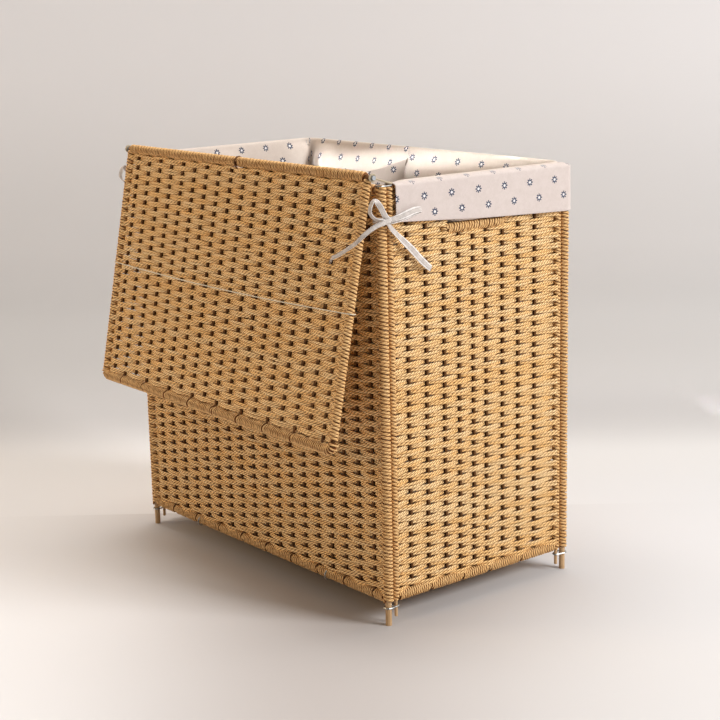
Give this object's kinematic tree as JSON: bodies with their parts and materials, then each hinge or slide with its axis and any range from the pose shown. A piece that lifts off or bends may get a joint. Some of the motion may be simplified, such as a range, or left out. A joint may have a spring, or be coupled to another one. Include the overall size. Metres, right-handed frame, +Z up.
{
  "type": "knitting basket",
  "caption": "Rectangular lidded storage basket of paper rope woven on welded wire panels, with a divided cotton liner, hand holes and a flap lid.",
  "frame": {"origin": "centre of the overall box at floor level", "axes": "+Z up; +Y away from the hanging lid, across the short side; +X along the long side, to the right for someone who faces the lid"},
  "size_m": [0.6242, 0.4328, 0.6194],
  "materials": {
    "painted_wire": "satin beige paint",
    "galvanised": "bare bright wire",
    "paper_rope": "matt twisted paper",
    "cotton": "matt plain weave with a small printed flower",
    "tape": "matt twill tape",
    "twine": "matt twine"
  },
  "bodies": {
    "basket": {"back_bottom_binding": "paper_rope", "back_grid": "painted_wire", "back_hoop": "painted_wire", "back_left_bottom_clip": "galvanised", "back_left_top_clip": "galvanised", "back_right_bottom_clip": "galvanised", "back_right_top_clip": "galvanised", "back_top_binding": "paper_rope", "back_weave": "paper_rope", "base_back_left_clip": "galvanised", "base_back_right_clip": "galvanised", "base_frame": "painted_wire", "base_front_left_clip": "galvanised", "base_front_right_clip": "galvanised", "base_weave": "paper_rope", "bow_left": "tape", "bow_right": "tape", "bow_tail_left": "tape", "bow_tail_right": "tape", "front_bottom_binding": "paper_rope", "front_grid": "painted_wire", "front_hoop": "painted_wire", "front_left_bottom_clip": "galvanised", "front_left_top_clip": "galvanised", "front_right_bottom_clip": "galvanised", "front_right_top_clip": "galvanised", "front_top_binding": "paper_rope", "front_weave": "paper_rope", "hinge_link_left": "painted_wire", "hinge_link_right": "painted_wire", "left_bottom_binding": "paper_rope", "left_grid": "painted_wire", "left_hand_hole_binding": "paper_rope", "left_hoop": "painted_wire", "left_top_binding": "paper_rope", "left_weave": "paper_rope", "liner_bag": "cotton", "liner_cuff": "cotton", "liner_divider": "cotton", "middle_hinge_ring": "galvanised", "right_bottom_binding": "paper_rope", "right_grid": "painted_wire", "right_hand_hole_binding": "paper_rope", "right_hoop": "painted_wire", "right_top_binding": "paper_rope", "right_weave": "paper_rope"},
    "lid": {"lid_frame": "painted_wire", "lid_weave": "paper_rope", "lid_hinge_binding": "paper_rope", "lid_free_binding": "paper_rope", "lid_string": "twine"}
  },
  "joints": [
    {"name": "lid_hinge", "type": "hinge", "parent": "basket", "child": "lid", "pos_m": [0, -0.14292, 0.6108], "axis": [-1, 0, 0], "range_deg": [0, 258.95], "deforming": ["bow_tail_right"]}
  ]
}
